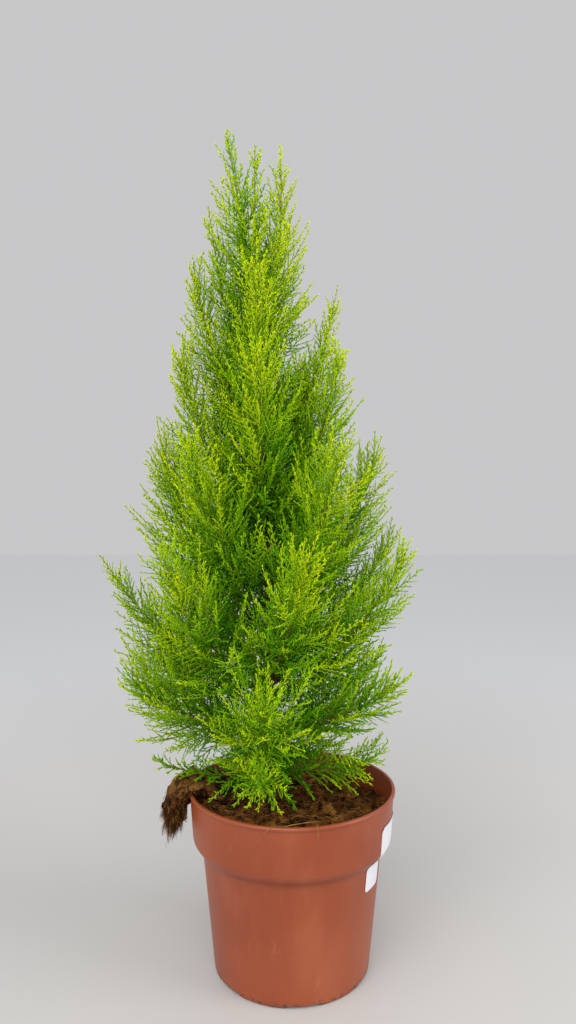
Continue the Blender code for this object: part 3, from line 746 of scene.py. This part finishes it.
# Trunk and boughs: one leaning stem, reddish brown with thin bark that splits in fine strips, and
# the boughs that leave it in whorls, thickest at their foot.
# Trunk: x, y, height and radius at each station.
TRUNK_STATIONS = (
    (-0.0320, 0.0000, 0.1770, 0.0095),
    (-0.0312, 0.0000, 0.1830, 0.0068),
    (-0.0292, 0.0006, 0.2050, 0.0056),
    (-0.0262, 0.0015, 0.2500, 0.0050),
    (-0.0240, 0.0010, 0.3400, 0.0043),
    (-0.0230, -0.0005, 0.4300, 0.0036),
    (-0.0250, -0.0015, 0.5200, 0.0029),
    (-0.0300, -0.0005, 0.6000, 0.0022),
    (-0.0365, 0.0005, 0.6600, 0.0016),
    (-0.0425, 0.0010, 0.7150, 0.0011),
)
trunk_table = np.array(TRUNK_STATIONS)
# Crown: how far it reaches from the trunk at each height.
CROWN_OUTLINE = (
    (0.200, 0.100), (0.240, 0.124), (0.300, 0.138), (0.430, 0.142), (0.520, 0.116),
    (0.600, 0.084), (0.700, 0.056), (0.790, 0.028), (0.832, 0.000),
)
LEADER_TIP = (-0.0645, 0.0020, 0.839)
# Side leaders: height at the trunk and the place of the tip.
SIDE_LEADERS = (
    (0.650, (-0.0360, -0.0110, 0.820)),
    (0.615, (-0.0110, 0.0060, 0.819)),
    (0.600, (-0.0520, 0.0290, 0.791)),
    (0.575, (-0.0820, -0.0050, 0.764)),
)
# Tiers: plumes, first azimuth, height at the trunk, height at the tip, bare share, length of the
# longest and of the last spray, and the distance between sprays along the stem.
TIERS = {
    "skirt": (5, 54, 0.192, 0.221, 0.0, 0.078, 0.026, 0.0038),
    "low": (6, 30, 0.230, 0.300, 0.20, 0.104, 0.028, 0.0028),
    "middle": (7, 180, 0.266, 0.420, 0.18, 0.112, 0.026, 0.0028),
    "upper": (5, 18, 0.335, 0.518, 0.16, 0.112, 0.030, 0.0026),
    "shoulder": (5, 54, 0.420, 0.608, 0.0, 0.094, 0.030, 0.0025),
    "neck": (4, 8, 0.508, 0.692, 0.0, 0.080, 0.028, 0.0026),
}
LEADER_GROWTH = (0.074, 0.007, 0.0034)
# Strays: plumes that reach past the crown's outline, and how far they do.
STRAYS = {"middle_1": 1.20, "neck_1": 1.5}
# Fullness: what the length of a plume's sprays is multiplied by, where it isn't 1.
FULLNESS = {
    "skirt_2": 0.7, "skirt_3": 0.42, "skirt_4": 1.15,
    "low_1": 0.75, "low_3": 1.3, "low_4": 1.4, "low_5": 1.3, "low_6": 0.9,
    "middle_1": 0.95, "middle_2": 1.2, "middle_4": 0.9, "middle_5": 0.88,
    "upper_3": 1.4, "shoulder_3": 1.1, "side_leader_2": 1.5,
}
STRAY_THINNING = 0.75
STAGGER = 0.030
STAGGER_ORDER = 3
TIP_STAGGER = 0.4
AXIS_SAG = 0.14
AXIS_BOW = 0.06
AXIS_STEPS = 12
LEADER_SAG = 0.06
GAP = 0.0003
TRUNK_GAP = 0.00038
STEM_RADIUS = 0.0013
BOUGH_THICKNESS = 0.62
TRUNK_SIDES = 20
TRUNK_RINGS = 220
TRUNK_BARK = 0.00045
BOUGH_SIDES = 12
BOUGH_RINGS = 26
BOUGH_BARK = 0.00025
BOUGH_END = 1.15
STRIPS_ACROSS = 900
STRIPS_ALONG = 90
FLAKES = 260
MERGE_DISTANCE = 0.00001


def trunk_at(height):
    """The trunk's centre and radius at a height."""
    x, y, radius = (float(np.interp(height, trunk_table[:, 2], trunk_table[:, axis])) for axis in (0, 1, 3))
    return np.array([x, y, min(height, trunk_table[-1, 2])]), radius


def outline_at(height):
    table = np.array(CROWN_OUTLINE)
    return np.interp(height, table[:, 0], table[:, 1])


def bend(start, end, sag, bow, steps):
    """Points on a curve that leaves low, bows outwards and rises towards its end."""
    length = np.linalg.norm(end - start)
    control = (start + end) / 2 + np.asarray(bow) * length - np.array([0, 0, sag * length])
    t = np.linspace(0, 1, steps + 1)[:, None]
    return (1 - t) ** 2 * start + 2 * t * (1 - t) * control + t**2 * end


def plan_plume(name, leave, tip, bare, growth):
    centre, radius = trunk_at(leave)
    away = np.array([tip[0] - centre[0], tip[1] - centre[1], 0.0])
    outwards = unit(away)
    start = np.array([centre[0], centre[1], leave]) + outwards * (radius + TRUNK_GAP)
    axis = bend(start, tip, AXIS_SAG, outwards * AXIS_BOW, AXIS_STEPS)
    return {
        "name": name, "stray": STRAYS.get(name, 1.0), "run": axis, "cut": round(bare * AXIS_STEPS),
        "limb_radius": BOUGH_THICKNESS * radius if bare else STEM_RADIUS, "growth": growth,
    }


plumes = []
for tier, (count, first, leave, tip_height, bare, *growth) in TIERS.items():
    for index in range(count):
        name = f"{tier}_{index + 1}"
        azimuth = math.radians(first + 360 * index / count)
        step_up = STAGGER * ((index * STAGGER_ORDER) % count) / count
        height = tip_height + TIP_STAGGER * step_up
        reach = outline_at(height) * STRAYS.get(name, 1.0)
        centre, _ = trunk_at(height)
        tip = centre + np.array([math.cos(azimuth), math.sin(azimuth), 0]) * reach
        plumes.append(plan_plume(name, leave + step_up, tip, bare, growth))
for index, (leave, tip) in enumerate(SIDE_LEADERS):
    plumes.append(plan_plume(f"side_leader_{index + 1}", leave, np.array(tip), 0.0, LEADER_GROWTH))
trunk_top = trunk_table[-1, :3]
lean = unit(trunk_top - trunk_table[-2, :3])
leader = plan_plume("leader", 0.7, np.array(LEADER_TIP), 0.0, LEADER_GROWTH)
leader["run"] = bend(trunk_top + lean * GAP, np.array(LEADER_TIP), LEADER_SAG, np.zeros(3), AXIS_STEPS)
plumes.append(leader)


def bark_limb(name, stations, sides, grooves):
    """A limb drawn as a curve with a round bevel, made a mesh, and carved by its bark's strips and
    splits."""
    curve = bpy.data.curves.new(name, "CURVE")
    curve.dimensions = "3D"
    curve.bevel_depth = 1.0
    curve.bevel_resolution = (sides - 4) // 2
    curve.use_fill_caps = True
    spline = curve.splines.new("POLY")
    spline.points.add(len(stations) - 1)
    for knot, (*point, radius) in zip(spline.points, stations):
        knot.co = (*point, 1)
        knot.radius = radius
    limb = bpy.data.objects.new(name, curve)
    bpy.context.scene.collection.objects.link(limb)
    pick(limb)
    bpy.ops.object.convert(target="MESH")
    limb = bpy.context.object
    bpy.ops.object.mode_set(mode="EDIT")
    bpy.ops.mesh.select_all(action="SELECT")
    bpy.ops.mesh.remove_doubles(threshold=MERGE_DISTANCE)
    face_outwards()
    path = stations[:, :3]
    for vert in limb.data.vertices:
        spot = np.array(vert.co)
        nearest = path[np.argmin(((path - spot) ** 2).sum(1))]
        outwards = vert.co - Vector(nearest)
        drawn_out = Vector((vert.co.x * STRIPS_ACROSS, vert.co.y * STRIPS_ACROSS, vert.co.z * STRIPS_ALONG))
        strip = abs(noise.noise(drawn_out))
        flake = noise.noise(vert.co * FLAKES)
        vert.co += outwards.normalized() * grooves * (flake * 0.8 - strip * 1.6)
    smooth(60)
    return limb


bark = Finish("cypress_bark", {"Roughness": 0.85})
strips = bark.grain(1100, 4, (1, 1, 0.09))
patches = bark.grain(120, 3, (1, 1, 0.5))
tone = bark.blend(strips.over(0.35, 0.65), linear(58, 34, 22), linear(122, 74, 48))
tone = bark.blend(patches.over(0.55, 0.72) * 0.6, tone, linear(150, 104, 76))
bark.paint(tone)
bark.polish(0.72 + strips * 0.2)
bark.relief(strips + patches * 0.3, 0.0008, 0.8)

trunk = bark_limb("trunk_bark", finer(trunk_table, TRUNK_RINGS), TRUNK_SIDES, TRUNK_BARK)
trunk.data.materials.append(bark.material)
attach(trunk, "root")
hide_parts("trunk")

limbs = []
for plume in plumes:
    if plume["cut"]:
        radii = np.linspace(plume["limb_radius"], STEM_RADIUS * BOUGH_END, plume["cut"] + 1)
        stations = finer(np.column_stack([plume["run"][: plume["cut"] + 1], radii]), BOUGH_RINGS)
        limbs.append(bark_limb("bough_" + plume["name"], stations, BOUGH_SIDES, BOUGH_BARK))
pick(*limbs)
bpy.ops.object.join()
boughs = bpy.context.object
boughs.name = "boughs_bark"
boughs.data.materials.clear()
boughs.data.materials.append(bark.material)
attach(boughs, "root")
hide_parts(*(f"bough_{plume['name']}" for plume in plumes if plume["cut"]))

# Plumes: the stem of each bough goes on outwards, green at its end, and bears sprays all round it
# by the golden angle. Each spray bears twiglets that lean forward, and all of them are clothed in
# soft awl-shaped needles, lime to yellow at the tips. Their deeper green inside the crown is partly
# the older needles' own colour and partly painted shade, and painted light makes the needles
# lighter high up and darker low down.
GOLDEN_ANGLE = math.radians(137.5)
SPRAY_ANGLES = (math.radians(46), math.radians(24))
SPRAY_LUCK = (0.62, 1.18)
SPRAY_LIFT = 0.40
SKIRT_DROOP = -0.18
LIFT_SHARE = 0.45
SPRAY_BOW = 0.12
SPRAY_STEPS = 5
SPRAY_RADIUS = 0.00062
SPRAY_TAPER = (1.15, 0.4)
TRY_TURN = 0.6
# Sprays on the trunk: lowest, highest, and the gap between them at first and from halfway on.
TRUNK_SPRAYS = (0.200, 0.712, 0.0021, 0.0040)
MIDDLE_SPRAYS = (0.320, 0.470, 0.0050, 0.0050)
TRUNK_SPRAY_LENGTHS = (0.095, 0.075)
TRUNK_SPRAY_ANGLES = (math.radians(58), math.radians(38))
TWIGLET_SHARES = (0.10, 0.97)
TWIGLET_SPACING = 0.0040
TWIGLET_ANGLE = math.radians(35)
TWIGLET_LIFT = 0.12
TWIGLET_REACH = 0.34
TWIGLET_LONGEST = 0.026
TWIGLET_SHORTEST = 0.0035
TWIGLET_RADIUS = 0.00060
NEEDLE_SPACING = 0.00178
DEEP_SPACING = 0.00320
NEEDLE_LENGTH = 0.0030
NEEDLE_WIDTH = 0.00068
NEEDLE_ANGLE = math.radians(24)
DEEP_LONGER = 1.5
DEEP_WIDER = 1.6
DEEP_TO_SUNNY = (0.30, 0.52)
SPACE_GIVE = 0.022
LIMB_CLEARANCE = 0.0008
OUTLINE_MARGIN = 1.13
TIP_MARGIN = 1.25
LEADERS_START = 0.72
POT_OPENING = 0.094
LOWEST_IN_POT = 0.184
LOWEST_OVER_RIM = 0.196
SPRAY_TRIES = 4
SHORTEN = 0.84
SHORTEST_SPRAY = 0.012
# Greens by shade: the deeper ones are partly the older needles' own colour, partly painted shade.
GREENS = {
    "needles_deep": linear(77, 145, 0),
    "needles_shade": linear(108, 167, 0),
    "needles_mid": linear(144, 192, 0),
    "needles_lime": linear(179, 210, 0),
    "needles_yellow": linear(201, 220, 5),
}
# Shade: what it starts from, and what being far out, far along a spray or high up adds to it.
# Being far out is partly the needles' own colour and partly painted shade; high up is painted light.
SHADE_START, SHADE_OUT, SHADE_ALONG, SHADE_HIGH = 0.05, 0.42, 0.20, 0.31
AXIS_LIGHTER = 0.05
SPRAY_SHADE_LUCK = 0.09
OWN_SHADE_LUCK = 0.015
GREEN_STARTS = (0.34, 0.47, 0.65, 0.86)
COOL = (0.86, 0.93, 1.0)
WARM = (1.14, 1.05, 1.0)
MOST_NEEDLES = 48000
STEM_SWELL = 1.1
STEM_TIP_RADIUS = 0.0005
STEM_RINGS = 14

axis_starts = np.concatenate([plume["run"][plume["cut"] : -1] for plume in plumes])
axis_ends = np.concatenate([plume["run"][plume["cut"] + 1 :] for plume in plumes])
axis_owner = np.repeat(np.arange(len(plumes)), [AXIS_STEPS - plume["cut"] for plume in plumes])
limb_pieces = [(low[:3], high[:3], low[3]) for low, high in zip(trunk_table, trunk_table[1:])]
for plume in plumes:
    run = plume["run"][: plume["cut"] + 1]
    limb_pieces += [(*ends, plume["limb_radius"]) for ends in zip(run, run[1:])]
limb_starts, limb_ends, limb_thickness = map(np.array, zip(*limb_pieces))


def gaps_to(points, starts, ends):
    """Distance from each point to each straight piece."""
    runs = ends - starts
    share = ((points[:, None] - starts) * runs).sum(2) / (runs**2).sum(1)
    near = starts + np.clip(share, 0, 1)[..., None] * runs
    return np.linalg.norm(points[:, None] - near, axis=2)


def trunk_distance(points):
    """How far points are from the trunk's line, measured level."""
    x, y = (np.interp(points[:, 2], trunk_table[:, 2], trunk_table[:, axis]) for axis in (0, 1))
    return np.hypot(points[:, 0] - x, points[:, 1] - y)


def inside_crown(points, stray):
    """True for points no further out than the crown reaches, below its top and above the pot."""
    heights = points[:, 2]
    outline = outline_at(heights) * stray * OUTLINE_MARGIN
    far = (trunk_distance(points) > outline) & (heights < LEADERS_START)
    over_pot = np.hypot(points[:, 0], points[:, 1]) < POT_OPENING
    lowest = np.where(over_pot, LOWEST_IN_POT, LOWEST_OVER_RIM)
    return ~far & (heights > lowest) & (heights < LEADER_TIP[2])


def clear_of_limbs(points):
    gaps = gaps_to(points, limb_starts, limb_ends)
    return bool((gaps > limb_thickness + LIMB_CLEARANCE).all())


def fits(points, owner, stray):
    """True if the points are inside the crown, in their own plume's space and clear of limbs."""
    if not inside_crown(points, stray).all():
        return False
    gaps = gaps_to(points, axis_starts, axis_ends)
    mine = gaps[:, axis_owner == owner].min(1)
    others = gaps[:, axis_owner != owner].min(1)
    if (others < mine - SPACE_GIVE).any():
        return False
    return clear_of_limbs(points)


def along(path, shares):
    """Points and directions at shares of the way along a path of stations."""
    at = np.clip(np.asarray(shares) * (len(path) - 1), 0, len(path) - 1.0001)
    step = at.astype(int)
    part = (at - step)[:, None]
    return path[step] * (1 - part) + path[step + 1] * part, unit(path[step + 1] - path[step])


def grow_sprays(owner, plume):
    """The sprays of one plume: each a short curved path."""
    stem = plume["run"][plume["cut"] :]
    run = np.linalg.norm(np.diff(stem, axis=0), axis=1).sum()
    longest, last, spacing = plume["growth"]
    fullness = FULLNESS.get(plume["name"], 1.0)
    thinning = STRAY_THINNING if plume["stray"] > 1 else 0.0
    shares = np.arange(0.02, 0.985, spacing / run)
    roots, ahead = along(stem, shares)
    side, other = square_to(ahead)
    turn = chance.uniform(0, math.tau)
    droops = plume["name"].startswith("skirt")
    sprays = []
    for index, share in enumerate(shares):
        wanted = (longest + (last - longest) * share**0.8) * chance.uniform(*SPRAY_LUCK) * fullness
        wanted *= 1 - thinning * share**2
        angle = np.interp(share, (0, 1), SPRAY_ANGLES) + chance.normal(0, 0.09)
        for attempt in range(SPRAY_TRIES):
            around = turn + GOLDEN_ANGLE * index + TRY_TURN * attempt
            outwards = side[index] * math.cos(around) + other[index] * math.sin(around)
            direction = ahead[index] * math.cos(angle) + outwards * math.sin(angle)
            lift = SKIRT_DROOP if droops and outwards[2] < 0.2 else SPRAY_LIFT
            bow = np.array([0, 0, -SPRAY_BOW * np.sign(lift)])
            length = wanted
            found = False
            while length > SHORTEST_SPRAY and not found:
                tip = roots[index] + direction * length + np.array([0, 0, lift * length * LIFT_SHARE])
                path = bend(roots[index], tip, 0.0, bow, SPRAY_STEPS)
                found = fits(path[2:], owner, plume["stray"])
                length *= SHORTEN
            if found:
                sprays.append(path)
                break
    return sprays


def grow_trunk_sprays(lowest, highest, first_gap, last_gap):
    """Sprays that spring from the trunk itself between the boughs and hide most of it."""
    sprays = []
    height, index = lowest, 0
    while height < highest:
        centre, _ = trunk_at(height)
        share = (height - lowest) / (highest - lowest)
        wanted = np.interp(share, (0, 1), TRUNK_SPRAY_LENGTHS)
        for attempt in range(SPRAY_TRIES):
            around = GOLDEN_ANGLE * index + TRY_TURN * attempt
            lean = np.interp(share, (0, 1), TRUNK_SPRAY_ANGLES) * chance.uniform(0.8, 1.25)
            flat = np.array([math.cos(around), math.sin(around), 0.0])
            direction = flat * math.sin(lean) + np.array([0, 0, math.cos(lean)])
            length = wanted * chance.uniform(0.8, 1.15)
            path = bend(centre, centre + direction * length, 0.0, flat * 0.10, SPRAY_STEPS)
            if inside_crown(path[2:], 1.0).all() and clear_of_limbs(path[2:]):
                sprays.append(path)
                break
        height += first_gap + (last_gap - first_gap) * min(share * 2, 1)
        index += 1
    return sprays


def grow_twiglets(sprays):
    """Roots, directions and lengths of the twiglets on the sprays, how far along each is, and the
    spray that bears it."""
    grown = []
    for bearer, path in enumerate(sprays):
        length = np.linalg.norm(np.diff(path, axis=0), axis=1).sum()
        shares = np.arange(*TWIGLET_SHARES, TWIGLET_SPACING / length)
        spots, ahead = along(path, shares)
        side, other = square_to(ahead)
        turn = chance.uniform(0, math.tau)
        turns = turn + math.pi * (np.arange(len(shares)) % 2) + chance.normal(0, 0.40, len(shares))
        lean = TWIGLET_ANGLE + chance.normal(0, 0.10, len(shares))
        outwards = side * np.cos(turns)[:, None] + other * np.sin(turns)[:, None]
        heading = ahead * np.cos(lean)[:, None] + outwards * np.sin(lean)[:, None]
        heading[:, 2] += TWIGLET_LIFT
        swell = np.sin(np.clip(shares * 1.15 + 0.12, 0, 1) * math.pi) ** 0.7
        reach = np.minimum(TWIGLET_REACH * length * swell, TWIGLET_LONGEST)
        reach *= chance.uniform(0.7, 1.15, len(shares))
        reach = np.maximum(reach, TWIGLET_SHORTEST)
        grown.append((spots, unit(heading), reach, shares, np.full(len(shares), bearer)))
    return map(np.concatenate, zip(*grown))


def shade_of(points, places, luck):
    """Where each twiglet falls between deep inside, near 0, and the sunny tips, near 1."""
    # Painted shade inside and low down, painted light high up, besides the needles' own colour.
    out = np.clip(trunk_distance(points) / np.maximum(outline_at(points[:, 2]), 0.03), 0, 1.1)
    high = np.clip((points[:, 2] - 0.2) / 0.6, 0, 1)
    own = chance.normal(0, OWN_SHADE_LUCK, len(points))
    return SHADE_START + SHADE_OUT * out**1.3 + SHADE_ALONG * places + SHADE_HIGH * high + luck + own


def clothe(roots, directions, lengths, shades):
    """Needles along straight or nearly straight runs: their places, headings and lengths, and the
    run each belongs to. Those deep inside the crown stand further apart."""
    spacing = np.interp(shades, DEEP_TO_SUNNY, (DEEP_SPACING, NEEDLE_SPACING))
    counts = np.maximum((lengths / spacing).astype(int), 3)
    owner = np.repeat(np.arange(len(roots)), counts)
    order = np.arange(len(owner)) - np.repeat(np.cumsum(counts) - counts, counts)
    share = (order + chance.uniform(0.2, 0.8, len(owner))) / counts[owner]
    side, other = square_to(directions[owner])
    turn = order * 2.2 + chance.uniform(0, 0.6, len(owner))
    outwards = side * np.cos(turn)[:, None] + other * np.sin(turn)[:, None]
    lean = NEEDLE_ANGLE * (1.15 - 0.55 * share)
    heading = directions[owner] * np.cos(lean)[:, None] + outwards * np.sin(lean)[:, None]
    place = roots[owner] + directions[owner] * (lengths[owner] * share)[:, None]
    size = NEEDLE_LENGTH * (1.08 - 0.35 * share) * chance.uniform(0.8, 1.15, len(owner))
    size *= np.interp(shades, DEEP_TO_SUNNY, (DEEP_LONGER, 1.0))[owner]
    return place, heading, size, owner


all_sprays = grow_trunk_sprays(*TRUNK_SPRAYS)
for index, plume in enumerate(plumes):
    all_sprays += grow_sprays(index, plume)
    all_sprays.append(finer(plume["run"][-3:], SPRAY_STEPS + 1))
all_sprays += grow_trunk_sprays(*MIDDLE_SPRAYS)

roots, directions, lengths, places, bearers = grow_twiglets(all_sprays)
kept = inside_crown(roots + directions * lengths[:, None], TIP_MARGIN)
twigs = [roots[kept], directions[kept], lengths[kept]]
spray_luck = chance.normal(0, SPRAY_SHADE_LUCK, len(all_sprays))
spray_paths = np.array(all_sprays)
spray_runs = np.diff(spray_paths, axis=1).reshape(-1, 3)
segments = [spray_paths[:, :-1].reshape(-1, 3), unit(spray_runs), np.linalg.norm(spray_runs, axis=1)]
starts, headings, spans = map(np.concatenate, zip(twigs, segments))
spray_places = np.tile(np.linspace(0.1, 1, SPRAY_STEPS), len(spray_paths))
run_places = np.concatenate([places[kept], spray_places])
axis_luck = np.repeat(spray_luck + AXIS_LIGHTER, SPRAY_STEPS)
run_luck = np.concatenate([spray_luck[bearers[kept]], axis_luck])
run_shades = shade_of(starts + headings * spans[:, None] * 0.6, run_places, run_luck)
needle_roots, needle_headings, needle_sizes, needle_runs = clothe(starts, headings, spans, run_shades)
needle_turns = chance.uniform(0, math.tau, len(needle_roots))
needle_widths = NEEDLE_WIDTH * chance.uniform(0.85, 1.2, len(needle_roots))
needle_widths *= np.interp(run_shades, DEEP_TO_SUNNY, (DEEP_WIDER, 1.0))[needle_runs]
needle_greens = np.searchsorted(GREEN_STARTS, run_shades)[needle_runs]
needles = (needle_roots, needle_headings, needle_sizes, needle_widths, needle_turns)

for green, (green_name, green_colour) in enumerate(GREENS.items()):
    leaf = Finish(green_name, {"Roughness": 0.7, "Specular IOR Level": 0.08})
    fleck = leaf.grain(300, 2)
    cool, warm = tinted(green_colour, *COOL), tinted(green_colour, *WARM)
    leaf.paint(leaf.blend(fleck.over(0.3, 0.7), cool, warm))
    leaf.polish(0.64 + fleck * 0.14)
    mine = np.flatnonzero(needle_greens == green)
    for part, first in enumerate(range(0, len(mine), MOST_NEEDLES)):
        shape = spikes(*(values[mine[first : first + MOST_NEEDLES]] for values in needles))
        made = joined_mesh(f"{green_name}_{part + 1}", *shape, leaf.material)
        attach(made, "root")

twig_skin = Finish("green_twigs", {"Roughness": 0.55})
skin_grain = twig_skin.grain(500, 3)
twig_skin.paint(twig_skin.blend(skin_grain.over(0.35, 0.65), linear(88, 128, 10), linear(138, 170, 22)))
spray_taper = np.linspace(*SPRAY_TAPER, SPRAY_STEPS + 1)
spray_widths = np.full(spray_paths.shape[:2], SPRAY_RADIUS) * spray_taper
spray_points, spray_faces = strands(spray_paths, spray_widths)
twig_widths = np.full(len(twigs[0]), TWIGLET_RADIUS)
twig_points, twig_faces = spikes(*twigs, twig_widths, np.zeros(len(twig_widths)))
points = np.concatenate([spray_points, twig_points])
faces = np.concatenate([spray_faces, twig_faces + len(spray_points)])
green_twigs = joined_mesh("green_twigs", points, faces, twig_skin.material)
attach(green_twigs, "root")

stem_stations = []
for plume in plumes:
    stem = plume["run"][plume["cut"] :]
    taper = np.linspace(STEM_RADIUS * STEM_SWELL, STEM_TIP_RADIUS, len(stem))
    stem_stations.append(finer(np.column_stack([stem, taper]), STEM_RINGS))
stem_stations = np.array(stem_stations)
stem_shape = strands(stem_stations[..., :3], stem_stations[..., 3])
stem_skin = Finish("young_stems", {"Roughness": 0.6})
stem_grain = stem_skin.grain(60, 3)
stem_skin.paint(stem_skin.blend(stem_grain.over(0.4, 0.6), linear(120, 84, 44), linear(134, 132, 40)))
stems = joined_mesh("plume_stems", *stem_shape, stem_skin.material)
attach(stems, "root")
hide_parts(*(f"plume_{plume['name']}" for plume in plumes))
